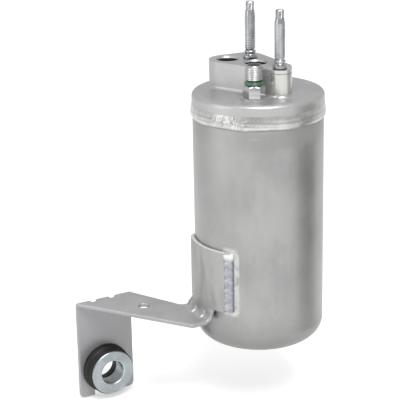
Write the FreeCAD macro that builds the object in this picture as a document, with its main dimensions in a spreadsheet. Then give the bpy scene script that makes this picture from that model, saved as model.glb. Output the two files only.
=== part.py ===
import FreeCAD, Part
import math
import os
import Sketcher

# Receiver drier for a car's air conditioning: an aluminium can with a welded port head, a folded
# steel-sheet bracket with a rubber isolator, and the drier cartridge and pick-up tube inside.
# Millimetres. The origin is the centre of the can's base, +Z runs up the can's axis, the bracket
# leaves the can towards -X and the isolator's bush lies along Y.

SIZES = {
    # Can
    "can_radius": 38.0,
    "can_wall": 2.0,
    "can_floor": 2.6,
    "can_corner": 11.8,
    "seam_height": 139.5,
    # Lid of the head
    "lid_overhang": 0.3,
    "lid_height": 10.8,
    "lid_shoulder": 2.6,
    "spigot_depth": 6.0,
    "spigot_wall": 4.5,
    "lid_plate": 6.3,
    "press_gap": 0.05,
    # Port block of the head
    "block_height": 16.0,
    "block_foot": 2.0,
    "lobe_inlet_x": -9.3,
    "lobe_inlet_y": 17.6,
    "lobe_inlet_radius": 11.0,
    "lobe_back_x": 4.5,
    "lobe_back_y": 18.3,
    "lobe_back_radius": 9.0,
    "lobe_stud_x": 2.3,
    "lobe_stud_y": -20.4,
    "lobe_stud_radius": 6.4,
    "lobe_corner_x": 9.5,
    "lobe_corner_y": -15.6,
    "lobe_corner_radius": 2.5,
    "inlet_x": -9.3,
    "inlet_y": 17.9,
    "outlet_x": -1.2,
    "outlet_y": 0.45,
    "port_radius": 6.0,
    "port_depth": 12.0,
    "port_mouth_radius": 7.0,
    "port_mouth_depth": 1.8,
    "inlet_passage_radius": 4.4,
    # Girth weld
    "bead_below": 4.0,
    "bead_above": 4.5,
    "bead_bulge": 1.3,
    # Studs
    "stud_radius": 3.0,
    "stud_height": 33.2,
    "stud_hold": 10.0,
    "stud_fit": 0.03,
    "stud_collar_radius": 3.25,
    "stud_collar_height": 3.0,
    "stud_relief_radius": 2.4,
    "stud_relief_height": 0.9,
    "stud_tip_width": 4.4,
    "stud_tip_height": 4.3,
    "stud_cone_height": 3.5,
    "stud_inlet_x": 2.0,
    "stud_inlet_y": 11.2,
    "stud_outlet_x": 1.8,
    "stud_outlet_y": -20.1,
    # Charge fitting
    "fitting_x": -13.5,
    "fitting_y": -17.3,
    "fitting_boss_radius": 7.6,
    "fitting_boss_height": 1.0,
    "fitting_hex_width": 11.0,
    "fitting_hex_height": 7.0,
    "fitting_neck_radius": 3.2,
    "fitting_neck_height": 2.8,
    "fitting_thread_radius": 5.0,
    "fitting_thread_height": 8.6,
    "fitting_shank_radius": 4.5,
    "fitting_shank_length": 6.8,
    "fitting_bore_radius": 2.35,
    "fitting_mouth_radius": 3.6,
    "fitting_mouth_depth": 2.2,
    "ring_section_radius": 1.15,
    "ring_gap": 0.04,
    # Valve core
    "core_top_drop": 3.0,
    "core_length": 7.0,
    "core_collar_length": 2.6,
    "core_gap": 0.05,
    "core_sleeve_radius": 1.8,
    "core_bore_radius": 0.85,
    "pin_radius": 0.6,
    "pin_drop": 0.8,
    "pin_travel": 1.2,
    "pin_seal_radius": 1.6,
    "pin_seal_height": 1.2,
    "core_spring_wire": 0.16,
    "core_spring_turns": 4.0,
    "core_seat_height": 0.6,
    # Bracket
    "sheet": 2.5,
    "saddle_gap": 0.05,
    "saddle_half_angle": 27.8,
    "saddle_bottom": 26.0,
    "saddle_height": 37.2,
    "saddle_corner": 1.5,
    "tab_front": -10.7,
    "tab_back": 15.5,
    "bend_inside": 3.5,
    "arm_top": 19.9,
    "arm_front_x": -52.5,
    "arm_left_x": -95.2,
    "arm_right_x": -58.5,
    "arm_back_y": 23.0,
    "arm_hole_x": -62.6,
    "arm_hole_y": 30.3,
    "arm_hole_radius": 3.25,
    "fold_inside": 1.0,
    "flange_front_y": 55.5,
    "flange_bottom": -43.5,
    "flange_corner": 2.5,
    "isolator_x": -77.7,
    "isolator_z": -26.3,
    "keyhole_radius": 10.0,
    "slot_half_width": 7.6,
    "dart_reach": 4.6,
    "dart_width": 4.6,
    "dart_front_y": -2.0,
    "dart_back_y": 7.8,
    "fold_dart_reach": 5.8,
    "fold_dart_width": 7.2,
    "fold_dart_spacing": 12.4,
    # Saddle welds
    "weld_spread": 7.6,
    "weld_rise": 2.3,
    "weld_inset": 0.6,
    "weld_gap": 0.05,
    "weld_bulge": 5.0,
    # Isolator
    "isolator_front_y": 45.0,
    "bush_flange_radius": 13.8,
    "bush_flange": 1.4,
    "bush_bore_radius": 7.45,
    "bush_wall": 1.3,
    "bush_length": 12.0,
    "bush_edge": 0.8,
    "rubber_gap": 0.05,
    "rubber_bore_gap": 0.45,
    "rubber_rim_radius": 14.5,
    "rubber_rim_height": 1.0,
    "rubber_rib_radius": 14.0,
    "rubber_seat_radius": 15.2,
    "rubber_seat_height": 3.4,
    "rubber_lip_radius": 13.0,
    "rubber_lip": 3.4,
    "rubber_plate_gap": 0.05,
    # Pick-up tube and strainer
    "tube_radius": 4.76,
    "tube_wall": 0.9,
    "tube_hold": 7.0,
    "tube_foot": 10.5,
    "tube_bead_radius": 6.6,
    "tube_bead_height": 1.6,
    "tube_gap": 0.06,
    "strainer_radius": 9.0,
    "strainer_wall": 0.8,
    "strainer_bottom": 3.4,
    "strainer_height": 13.0,
    "strainer_collar": 4.0,
    # Cartridge
    "cartridge_gap": 0.2,
    "cartridge_bottom": 24.0,
    "plate_thickness": 1.5,
    "felt_thickness": 6.0,
    "bed_height": 66.0,
    "plate_hole_radius": 2.2,
    "plate_ring_inner": 16.0,
    "plate_ring_outer": 27.0,
    "plate_count_inner": 8.0,
    "plate_count_outer": 14.0,
    "seat_gap": 0.05,
    "spring_radius": 23.0,
    "spring_wire": 1.3,
    "spring_turns": 3.0,
}

doc = FreeCAD.newDocument("receiver_drier")
sheet = doc.addObject("Spreadsheet::Sheet", "Sizes")
for row, name in enumerate(SIZES, start=1):
    sheet.set("A%d" % row, name)
    sheet.set("B%d" % row, str(SIZES[name]))
    sheet.setAlias("B%d" % row, name)
doc.recompute()


class Size:
    """A length or angle with the spreadsheet expression it comes from."""

    def __init__(self, value, text):
        self.value = float(value)
        self.text = text

    def __add__(self, other):
        other = size(other)
        return Size(self.value + other.value, "(%s + %s)" % (self.text, other.text))

    def __radd__(self, other):
        return size(other) + self

    def __sub__(self, other):
        other = size(other)
        return Size(self.value - other.value, "(%s - %s)" % (self.text, other.text))

    def __rsub__(self, other):
        return size(other) - self

    def __mul__(self, other):
        other = size(other)
        return Size(self.value * other.value, "(%s * %s)" % (self.text, other.text))

    def __rmul__(self, other):
        return size(other) * self

    def __truediv__(self, other):
        other = size(other)
        return Size(self.value / other.value, "(%s / %s)" % (self.text, other.text))

    def __neg__(self):
        return Size(-self.value, "(0 - %s)" % self.text)


def size(number):
    if isinstance(number, Size):
        return number
    return Size(number, "(%r)" % float(number))


class Sheet:
    """Reads a named size as an expression."""

    def __getattr__(self, name):
        return Size(SIZES[name], "Sizes." + name)


def cosine(angle):
    angle = size(angle)
    return Size(math.cos(math.radians(angle.value)), "cos(%s)" % angle.text)


def sine(angle):
    angle = size(angle)
    return Size(math.sin(math.radians(angle.value)), "sin(%s)" % angle.text)


def root(number):
    return Size(math.sqrt(number.value), "sqrt(%s)" % number.text)


def heading(dx, dy):
    return Size(math.degrees(math.atan2(dy.value, dx.value)), "atan2(%s; %s)" % (dy.text, dx.text))


def arc_cosine(number):
    return Size(math.degrees(math.acos(number.value)), "acos(%s)" % number.text)


S = Sheet()
ZERO = size(0.0)


def bind(item, name, amount):
    item.setExpression(name, size(amount).text)


def new_body(node):
    body = doc.addObject("PartDesign::Body", "body_" + node)
    body.Label = node
    return body


def place(item, x=0.0, y=0.0, z=0.0):
    bind(item, "Placement.Base.x", x)
    bind(item, "Placement.Base.y", y)
    bind(item, "Placement.Base.z", z)


def new_sketch(body, name, role, offset=None):
    sketch = body.newObject("Sketcher::SketchObject", name)
    plane = [item for item in body.Origin.OriginFeatures if item.Role == role][0]
    sketch.AttachmentSupport = [(plane, "")]
    sketch.MapMode = "FlatFace"
    if offset is not None:
        bind(sketch, "AttachmentOffset.Base.z", offset)
    return sketch


def pin_point(sketch, index, end, x, y):
    for kind, amount in (("DistanceX", x), ("DistanceY", y)):
        number = sketch.addConstraint(Sketcher.Constraint(kind, -1, 1, index, end, amount.value))
        sketch.setExpression("Constraints[%d]" % number, amount.text)


def outline(sketch, points):
    """Closed outline. A point is (x, y), or (x, y, radius, turn) where an arc leads to the next."""
    first = sketch.GeometryCount
    count = len(points)
    for index, point in enumerate(points):
        after = points[(index + 1) % count]
        ax, ay = size(point[0]).value, size(point[1]).value
        bx, by = size(after[0]).value, size(after[1]).value
        start = FreeCAD.Vector(ax, ay, 0)
        end = FreeCAD.Vector(bx, by, 0)
        if len(point) == 2:
            sketch.addGeometry(Part.LineSegment(start, end), False)
            continue
        radius = size(point[2]).value
        turn = point[3]
        half = (end - start).Length / 2
        rise = math.sqrt(max(radius * radius - half * half, 0.0))
        side = FreeCAD.Vector(-(by - ay), bx - ax, 0).normalize()
        centre = (start + end) / 2 + side * rise * turn
        angle_a = math.atan2(ay - centre.y, ax - centre.x)
        angle_b = math.atan2(by - centre.y, bx - centre.x)
        circle = Part.Circle(centre, FreeCAD.Vector(0, 0, 1), radius)
        if turn < 0:
            angle_a, angle_b = angle_b, angle_a
        sketch.addGeometry(Part.ArcOfCircle(circle, angle_a, angle_b), False)

    def ends(index):
        if len(points[index]) == 2 or points[index][3] > 0:
            return 1, 2
        return 2, 1

    for index, point in enumerate(points):
        before = (index - 1) % count
        sketch.addConstraint(Sketcher.Constraint("Coincident", first + before, ends(before)[1],
                                                 first + index, ends(index)[0]))
    for index, point in enumerate(points):
        pin_point(sketch, first + index, ends(index)[0], size(point[0]), size(point[1]))
        if len(point) == 4:
            number = sketch.addConstraint(Sketcher.Constraint("Radius", first + index,
                                                              size(point[2]).value))
            sketch.setExpression("Constraints[%d]" % number, size(point[2]).text)


def ring(sketch, x, y, radius):
    x, y, radius = size(x), size(y), size(radius)
    circle = Part.Circle(FreeCAD.Vector(x.value, y.value, 0), FreeCAD.Vector(0, 0, 1), radius.value)
    index = sketch.addGeometry(circle, False)
    pin_point(sketch, index, 3, x, y)
    number = sketch.addConstraint(Sketcher.Constraint("Radius", index, radius.value))
    sketch.setExpression("Constraints[%d]" % number, radius.text)


def pad(body, sketch, name, length, back=False):
    feature = body.newObject("PartDesign::Pad", name)
    feature.Profile = sketch
    feature.Length = size(length).value
    bind(feature, "Length", length)
    feature.Reversed = back
    return feature


def revolve(body, sketch, name):
    feature = body.newObject("PartDesign::Revolution", name)
    feature.Profile = sketch
    feature.ReferenceAxis = (sketch, ["V_Axis"])
    feature.Angle = 360.0
    return feature


def turned(node, points):
    """A body turned about its own Z from a half profile of (radius, height) points."""
    body = new_body(node)
    sketch = new_sketch(body, "profile_" + node, "XZ_Plane")
    outline(sketch, points)
    revolve(body, sketch, "turned_" + node)
    return body


def bore(body, name, x, y, z, radius, height):
    """Cylinder taken away from the body, upwards from z."""
    feature = body.newObject("PartDesign::SubtractiveCylinder", name)
    bind(feature, "Radius", radius)
    bind(feature, "Height", height)
    place(feature, x, y, z)
    return feature


def round_edges(body, name, radius, wanted):
    """Rounds the edges of the body's last feature that the test picks."""
    doc.recompute()
    base = body.Tip
    names = ["Edge%d" % (index + 1) for index, edge in enumerate(base.Shape.Edges) if wanted(edge)]
    feature = body.newObject("PartDesign::Fillet", name)
    feature.Base = (base, names)
    feature.Radius = size(radius).value
    bind(feature, "Radius", radius)
    return feature


def coil(node, mean_radius, wire_radius, bottom, height, turns, runs):
    """Coil spring of round wire in short straight runs, its centre line from bottom upwards."""
    steps = int(round(turns.value * runs))
    points = []
    for step in range(steps + 1):
        angle = 2 * math.pi * step / runs
        points.append(FreeCAD.Vector(mean_radius.value * math.cos(angle),
                                     mean_radius.value * math.sin(angle),
                                     bottom.value + height.value * step / steps))
    section = Part.Wire(Part.makeCircle(wire_radius.value, points[0], points[1] - points[0]))
    spring = doc.addObject("Part::Feature", "coil_" + node)
    spring.Label = node
    spring.Shape = Part.makePolygon(points).makePipeShell([section], True, False, 1)
    return spring


# Can: drawn in one piece, flat base with a large corner radius, open at the top.
can_inside = S.can_radius - S.can_wall
corner_inside = S.can_corner - S.can_wall
canister = turned("canister", [
    (ZERO, ZERO),
    (S.can_radius - S.can_corner, ZERO, S.can_corner, 1),
    (S.can_radius, S.can_corner),
    (S.can_radius, S.seam_height),
    (can_inside, S.seam_height),
    (can_inside, S.can_corner, corner_inside, -1),
    (can_inside - corner_inside, S.can_wall),
    (can_inside - corner_inside - 2.0, S.can_floor),
    (ZERO, S.can_floor),
])

# Head: lid with a spigot in the can and a thick plate, and the port block on top.
lid_radius = S.can_radius + S.lid_overhang
lid_top = S.seam_height + S.lid_height
lid_under = lid_top - S.lid_plate
spigot_radius = can_inside - S.press_gap
spigot_bottom = S.seam_height - S.spigot_depth
block_top = lid_top + S.block_height
head = turned("head", [
    (ZERO, lid_under),
    (spigot_radius - S.spigot_wall, lid_under),
    (spigot_radius - S.spigot_wall, spigot_bottom),
    (spigot_radius, spigot_bottom),
    (spigot_radius, S.seam_height + S.press_gap),
    (lid_radius, S.seam_height + S.press_gap),
    (lid_radius, lid_top - S.lid_shoulder, S.lid_shoulder, 1),
    (lid_radius - S.lid_shoulder, lid_top),
    (ZERO, lid_top),
])


def hull_point(mine, other, turn):
    """Where the common outer tangent of two round lobes touches the first."""
    dx = other[0] - mine[0]
    dy = other[1] - mine[1]
    span = root(dx * dx + dy * dy)
    angle = heading(dx, dy) + arc_cosine((mine[2] - other[2]) / span) * turn
    return mine[0] + mine[2] * cosine(angle), mine[1] + mine[2] * sine(angle)


lobe_inlet = (S.lobe_inlet_x, S.lobe_inlet_y, S.lobe_inlet_radius)
lobe_back = (S.lobe_back_x, S.lobe_back_y, S.lobe_back_radius)
lobe_stud = (S.lobe_stud_x, S.lobe_stud_y, S.lobe_stud_radius)
lobe_corner = (S.lobe_corner_x, S.lobe_corner_y, S.lobe_corner_radius)
block_points = []
for mine, before, after in ((lobe_stud, lobe_inlet, lobe_corner),
                            (lobe_corner, lobe_stud, lobe_back),
                            (lobe_back, lobe_corner, lobe_inlet),
                            (lobe_inlet, lobe_back, lobe_stud)):
    arc_start = hull_point(mine, before, 1)
    arc_end = hull_point(mine, after, -1)
    block_points.append((arc_start[0], arc_start[1], mine[2], 1))
    block_points.append(arc_end)
block_sketch = new_sketch(head, "block_outline", "XY_Plane", lid_top)
outline(block_sketch, block_points)
pad(head, block_sketch, "block", S.block_height)


def at_block_foot(edge):
    box = edge.BoundBox
    level = abs(box.ZMin - lid_top.value) < 0.001 and abs(box.ZMax - lid_top.value) < 0.001
    return level and edge.Length < 2 * math.pi * (lid_radius - S.lid_shoulder).value - 1.0


round_edges(head, "block_foot", S.block_foot, at_block_foot)
boss = head.newObject("PartDesign::AdditiveCylinder", "fitting_boss")
bind(boss, "Radius", S.fitting_boss_radius)
bind(boss, "Height", S.fitting_boss_height + 1.0)
place(boss, S.fitting_x, S.fitting_y, lid_top - 1.0)
port_floor = block_top - S.port_depth
tube_top = lid_under + S.tube_hold
for side, x, y in (("inlet", S.inlet_x, S.inlet_y), ("outlet", S.outlet_x, S.outlet_y)):
    bore(head, side + "_port", x, y, port_floor, S.port_radius, S.port_depth + 1.0)
    mouth = head.newObject("PartDesign::SubtractiveCone", side + "_mouth")
    bind(mouth, "Radius1", S.port_radius)
    bind(mouth, "Radius2", S.port_mouth_radius)
    bind(mouth, "Height", S.port_mouth_depth)
    place(mouth, x, y, block_top - S.port_mouth_depth)
bore(head, "inlet_passage", S.inlet_x, S.inlet_y, lid_under - 1.0, S.inlet_passage_radius,
     port_floor - lid_under + 2.0)
bore(head, "outlet_passage", S.outlet_x, S.outlet_y, lid_under - 1.0, S.tube_radius - S.tube_wall,
     port_floor - lid_under + 2.0)
bore(head, "tube_socket", S.outlet_x, S.outlet_y, lid_under - 1.0, S.tube_radius + S.tube_gap,
     S.tube_hold + 1.0)
for side, x, y in (("inlet", S.stud_inlet_x, S.stud_inlet_y),
                   ("outlet", S.stud_outlet_x, S.stud_outlet_y)):
    bore(head, side + "_stud_hole", x, y, block_top - S.stud_hold - S.stud_fit,
         S.stud_radius + S.stud_fit, S.stud_hold + 1.0)
bore(head, "fitting_hole", S.fitting_x, S.fitting_y, lid_under - 1.0,
     S.fitting_shank_radius + S.stud_fit, S.lid_plate + S.fitting_boss_height + 2.0)

# Girth weld: bead laid round the seam, with a long upper flank and a sharper lower edge.
bead_can = S.can_radius + S.press_gap
bead_lid = lid_radius + S.press_gap
turned("girth_weld", [
    (bead_can, S.seam_height - S.bead_below),
    (bead_can + S.bead_bulge * 0.7, S.seam_height - S.bead_below, S.bead_bulge * 1.6, 1),
    (bead_can + S.bead_bulge, S.seam_height - S.bead_below * 0.5, S.bead_above * 2.2, 1),
    (bead_lid + 0.08, S.seam_height + S.bead_above),
    (bead_lid, S.seam_height + S.bead_above),
    (bead_lid, S.seam_height),
    (bead_can, S.seam_height),
])


def stud(node, x, y):
    """Stud with its lower end in the block, a collar, a relief, a cone and a drive tip."""
    tip_radius = S.stud_tip_width / 2
    body = turned(node, [
        (ZERO, -S.stud_hold),
        (S.stud_radius, -S.stud_hold),
        (S.stud_radius, S.seat_gap),
        (S.stud_collar_radius - 0.1, S.seat_gap, S.stud_collar_height * 2, 1),
        (S.stud_collar_radius - 0.1, S.stud_collar_height),
        (S.stud_relief_radius, S.stud_collar_height),
        (S.stud_relief_radius, S.stud_collar_height + S.stud_relief_height),
        (S.stud_radius, S.stud_collar_height + S.stud_relief_height),
        (S.stud_radius, S.stud_height - S.stud_tip_height - S.stud_cone_height),
        (tip_radius, S.stud_height - S.stud_tip_height),
        (ZERO, S.stud_height - S.stud_tip_height),
    ])
    tip = new_sketch(body, "tip_" + node, "XY_Plane", S.stud_height - S.stud_tip_height - 0.5)
    corner = tip_radius / cosine(30)
    outline(tip, [(corner * cosine(step * 60), corner * sine(step * 60)) for step in range(6)])
    pad(body, tip, "drive_" + node, S.stud_tip_height + 0.5)
    place(body, x, y, block_top)
    return body


stud("inlet_stud", S.stud_inlet_x, S.stud_inlet_y)
stud("outlet_stud", S.stud_outlet_x, S.stud_outlet_y)

# Charge fitting: shank in the lid, hexagon on the boss, neck for the seal ring, threaded end.
fitting_base = lid_top + S.fitting_boss_height + S.seat_gap
hex_top = S.fitting_hex_height
neck_top = hex_top + S.fitting_neck_height
fitting_top = neck_top + S.fitting_thread_height
fitting = new_body("charge_fitting")
hexagon = new_sketch(fitting, "hexagon", "XY_Plane")
hex_corner = S.fitting_hex_width / 2 / cosine(30)
outline(hexagon, [(hex_corner * cosine(step * 60 + 30), hex_corner * sine(step * 60 + 30))
                  for step in range(6)])
pad(fitting, hexagon, "hex", S.fitting_hex_height)
stem = new_sketch(fitting, "stem_profile", "XZ_Plane")
outline(stem, [
    (ZERO, -S.fitting_shank_length),
    (S.fitting_shank_radius, -S.fitting_shank_length),
    (S.fitting_shank_radius, hex_top - 1.0),
    (S.fitting_neck_radius, hex_top - 1.0),
    (S.fitting_neck_radius, neck_top),
    (S.fitting_thread_radius - 0.6, neck_top),
    (S.fitting_thread_radius, neck_top + 0.6),
    (S.fitting_thread_radius, fitting_top - 0.7),
    (S.fitting_thread_radius - 0.7, fitting_top),
    (ZERO, fitting_top),
])
revolve(fitting, stem, "stem")
shave = new_sketch(fitting, "hex_shave", "XZ_Plane")
hex_flat = S.fitting_hex_width / 2
outline(shave, [
    (hex_flat, hex_top),
    (hex_corner + 0.5, hex_top - (hex_corner + 0.5 - hex_flat) * 0.55),
    (hex_corner + 0.5, hex_top + 0.5),
    (hex_flat, hex_top + 0.5),
])
bevel = fitting.newObject("PartDesign::Groove", "hex_bevel")
bevel.Profile = shave
bevel.ReferenceAxis = (shave, ["V_Axis"])
bevel.Angle = 360.0
bore(fitting, "fitting_bore", ZERO, ZERO, -S.fitting_shank_length - 1.0, S.fitting_bore_radius,
     fitting_top + S.fitting_shank_length + 2.0)
bore(fitting, "fitting_mouth", ZERO, ZERO, fitting_top - S.fitting_mouth_depth,
     S.fitting_mouth_radius, S.fitting_mouth_depth + 1.0)
place(fitting, S.fitting_x, S.fitting_y, fitting_base)

# Seal ring resting on the hexagon round the neck.
seal = doc.addObject("Part::Torus", "seal_ring")
seal.Label = "charge_fitting_o_ring"
bind(seal, "Radius1", S.fitting_neck_radius + S.ring_section_radius + S.ring_gap)
bind(seal, "Radius2", S.ring_section_radius)
place(seal, S.fitting_x, S.fitting_y, fitting_base + hex_top + S.ring_section_radius + S.ring_gap)

# Valve core: body with a collar in the fitting's bore and a seat at its lower end, a pin with a
# seal that lifts off below the seat, and a spring over the pin.
core_top = fitting_top - S.core_top_drop
core_bottom = core_top - S.core_length
core_step = core_top - S.core_collar_length
core = turned("valve_core_body", [
    (S.core_bore_radius, core_bottom),
    (S.core_sleeve_radius, core_bottom),
    (S.core_sleeve_radius, core_step),
    (S.fitting_bore_radius - S.core_gap, core_step),
    (S.fitting_bore_radius - S.core_gap, core_top),
    (S.core_sleeve_radius - S.core_spring_wire, core_top),
    (S.core_sleeve_radius - S.core_spring_wire * 3, core_bottom + S.core_seat_height),
    (S.core_bore_radius, core_bottom + S.core_seat_height),
])
place(core, S.fitting_x, S.fitting_y, fitting_base)
pin_top = core_top - S.pin_drop
head_under = pin_top - S.pin_seal_height * 0.5
pin = turned("valve_core_pin", [
    (ZERO, core_bottom - S.pin_seal_height - S.core_gap),
    (S.pin_seal_radius, core_bottom - S.pin_seal_height - S.core_gap),
    (S.pin_seal_radius, core_bottom - S.core_gap),
    (S.pin_radius, core_bottom - S.core_gap),
    (S.pin_radius, head_under),
    (S.pin_radius * 1.7, head_under),
    (S.pin_radius * 1.7, pin_top),
    (ZERO, pin_top),
])
place(pin, S.fitting_x, S.fitting_y, fitting_base)
core_spring_low = core_bottom + S.core_seat_height + S.core_spring_wire + S.core_gap
core_spring_high = head_under - S.core_spring_wire - S.core_gap
core_spring = coil("valve_core_spring", S.pin_radius + S.core_spring_wire * 2, S.core_spring_wire,
                   core_spring_low, core_spring_high - core_spring_low, S.core_spring_turns, 12)
place(core_spring, S.fitting_x, S.fitting_y, fitting_base)

# Bracket: one folded sheet. The saddle wraps the can, a tab under it turns out into the arm, and
# the arm's far end folds down into the flange that holds the isolator.
saddle_in = S.can_radius + S.saddle_gap
saddle_out = saddle_in + S.sheet
arm_under = S.arm_top - S.sheet
bend_outside = S.bend_inside + S.sheet
bend_x = -(saddle_out + S.bend_inside)
bend_z = S.arm_top + S.bend_inside
bracket = new_body("mounting_bracket")
saddle_sketch = new_sketch(bracket, "saddle_outline", "XY_Plane", S.saddle_bottom)
front = cosine(S.saddle_half_angle), sine(S.saddle_half_angle)
outline(saddle_sketch, [
    (-saddle_in * front[0], -saddle_in * front[1], saddle_in, -1),
    (-saddle_in * front[0], saddle_in * front[1]),
    (-saddle_out * front[0], saddle_out * front[1], saddle_out, 1),
    (-saddle_out * front[0], -saddle_out * front[1]),
])
pad(bracket, saddle_sketch, "saddle", S.saddle_height)


def curved_x(radius, y):
    return -root(radius * radius - y * y)


tab_top_sketch = new_sketch(bracket, "tab_top", "XY_Plane", S.saddle_bottom)
outline(tab_top_sketch, [
    (curved_x(saddle_in, S.tab_front), S.tab_front, saddle_in, -1),
    (curved_x(saddle_in, S.tab_back), S.tab_back),
    (curved_x(saddle_out, S.tab_back), S.tab_back, saddle_out, 1),
    (curved_x(saddle_out, S.tab_front), S.tab_front),
])
tab_low_sketch = new_sketch(bracket, "tab_low", "XY_Plane", bend_z)
outline(tab_low_sketch, [
    (-saddle_in, S.tab_front),
    (-saddle_in, S.tab_back),
    (-saddle_out, S.tab_back),
    (-saddle_out, S.tab_front),
])
tab = bracket.newObject("PartDesign::AdditiveLoft", "tab")
tab.Profile = tab_top_sketch
tab.Sections = [tab_low_sketch]
tab.Ruled = False
bend_sketch = new_sketch(bracket, "bend_profile", "XZ_Plane", -S.arm_back_y)
outline(bend_sketch, [
    (-saddle_in, bend_z, bend_outside, -1),
    (bend_x, arm_under),
    (bend_x, S.arm_top, S.bend_inside, 1),
    (-saddle_out, bend_z),
])
pad(bracket, bend_sketch, "bend", S.arm_back_y - S.tab_front)
arm_sketch = new_sketch(bracket, "arm_outline", "XY_Plane", arm_under)
fold_y = S.flange_front_y - S.fold_inside
outline(arm_sketch, [
    (bend_x, S.tab_front),
    (bend_x, S.arm_back_y),
    (S.arm_right_x, fold_y),
    (S.arm_left_x, fold_y),
    (S.arm_front_x, S.tab_front),
])
pad(bracket, arm_sketch, "arm", S.sheet)
fold_z = arm_under - S.fold_inside
fold_outside = S.fold_inside + S.sheet
fold_sketch = new_sketch(bracket, "fold_profile", "YZ_Plane", S.arm_left_x)
outline(fold_sketch, [
    (fold_y, arm_under, S.fold_inside, -1),
    (S.flange_front_y, fold_z),
    (S.flange_front_y + S.sheet, fold_z, fold_outside, 1),
    (fold_y, S.arm_top),
])
pad(bracket, fold_sketch, "fold", S.arm_right_x - S.arm_left_x)
slot_rise = root(S.keyhole_radius * S.keyhole_radius - S.slot_half_width * S.slot_half_width)
flange_sketch = new_sketch(bracket, "flange_outline", "XZ_Plane", -S.flange_front_y - S.sheet)
outline(flange_sketch, [
    (S.arm_left_x, fold_z),
    (S.arm_left_x, S.flange_bottom + S.flange_corner, S.flange_corner, 1),
    (S.arm_left_x + S.flange_corner, S.flange_bottom),
    (S.isolator_x - S.slot_half_width, S.flange_bottom),
    (S.isolator_x - S.slot_half_width, S.isolator_z - slot_rise, S.keyhole_radius, -1),
    (S.isolator_x - S.keyhole_radius, S.isolator_z, S.keyhole_radius, -1),
    (S.isolator_x, S.isolator_z + S.keyhole_radius, S.keyhole_radius, -1),
    (S.isolator_x + S.keyhole_radius, S.isolator_z, S.keyhole_radius, -1),
    (S.isolator_x + S.slot_half_width, S.isolator_z - slot_rise),
    (S.isolator_x + S.slot_half_width, S.flange_bottom),
    (S.arm_right_x - S.flange_corner, S.flange_bottom, S.flange_corner, 1),
    (S.arm_right_x, S.flange_bottom + S.flange_corner),
    (S.arm_right_x, fold_z),
])
pad(bracket, flange_sketch, "flange", S.sheet)


def pocket(body, sketch, name, depth):
    """Cuts behind the sketch's plane, which must take something away."""
    doc.recompute()
    before = body.Shape.Volume
    feature = body.newObject("PartDesign::Pocket", name)
    feature.Profile = sketch
    feature.Length = size(depth).value
    bind(feature, "Length", depth)
    doc.recompute()
    if body.Shape.Volume >= before:
        raise RuntimeError(name + " cuts nothing")
    return feature


# The bend's back edge runs on in line with the arm's edge.
trim = new_sketch(bracket, "bend_trim", "XY_Plane", bend_z + 0.2)
outline(trim, [
    (bend_x, S.arm_back_y),
    (-saddle_out, S.tab_back),
    (-saddle_in + 1.0, S.tab_back),
    (-saddle_in + 1.0, S.arm_back_y + 1.0),
    (bend_x, S.arm_back_y + 1.0),
])
pocket(bracket, trim, "bend_edge", bend_outside + 1.0)
bore(bracket, "arm_hole", S.arm_hole_x, S.arm_hole_y, arm_under - 1.0, S.arm_hole_radius,
     S.sheet + 2.0)

# Pressed darts stiffen both bends: a rib across the inside corner, a groove outside it.
bite = S.sheet * 0.48
shift = S.sheet * math.sqrt(2)
groove_share = 0.62


def along_rib(edge):
    if len(edge.Vertexes) != 2 or not isinstance(edge.Curve, Part.Line):
        return False
    way = edge.Vertexes[1].Point - edge.Vertexes[0].Point
    way.normalize()
    return sorted(round(abs(part), 3) for part in way) == [0.0, 0.707, 0.707] and abs(way.z) > 0.5


for side, y in (("front", S.dart_front_y), ("back", S.dart_back_y)):
    rib = new_sketch(bracket, side + "_rib", "XZ_Plane", -(y + S.dart_width / 2))
    outline(rib, [
        (-saddle_out + bite, S.arm_top - bite),
        (-saddle_out + bite, S.arm_top + S.dart_reach + bite),
        (-saddle_out - S.dart_reach - bite, S.arm_top - bite),
    ])
    pad(bracket, rib, side + "_dart_rib", S.dart_width)
fold_darts = (("left", -1), ("right", 1))
for side, way in fold_darts:
    x = S.isolator_x + S.fold_dart_spacing / 2 * way
    rib = new_sketch(bracket, side + "_fold_rib", "YZ_Plane", x - S.fold_dart_width / 2)
    outline(rib, [
        (S.flange_front_y + bite, arm_under + bite),
        (S.flange_front_y - S.fold_dart_reach - bite, arm_under + bite),
        (S.flange_front_y + bite, arm_under - S.fold_dart_reach - bite),
    ])
    pad(bracket, rib, side + "_fold_dart_rib", S.fold_dart_width)
round_edges(bracket, "rib_crests", S.dart_width * 0.15, along_rib)
for side, y in (("front", S.dart_front_y), ("back", S.dart_back_y)):
    width = S.dart_width * groove_share
    groove = new_sketch(bracket, side + "_groove", "XZ_Plane", -(y - width / 2))
    outline(groove, [
        (-saddle_in + 0.5, arm_under - 0.5),
        (-saddle_in + 0.5, arm_under + S.sheet * 2 + S.dart_reach + 0.5 - shift),
        (-saddle_in - S.sheet * 2 - S.dart_reach - 0.5 + shift, arm_under - 0.5),
    ])
    pocket(bracket, groove, side + "_dart_groove", width)
width = S.fold_dart_width * groove_share
crease = S.flange_front_y + arm_under - S.fold_dart_reach + shift
far = S.flange_front_y + S.sheet + 0.5
for side, way in fold_darts:
    x = S.isolator_x + S.fold_dart_spacing / 2 * way
    groove = new_sketch(bracket, side + "_fold_groove", "YZ_Plane", x + width / 2)
    outline(groove, [
        (far, S.arm_top + 0.5),
        (crease - S.arm_top - 0.5, S.arm_top + 0.5),
        (far, crease - far),
    ])
    pocket(bracket, groove, side + "_fold_dart_groove", width)

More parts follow.
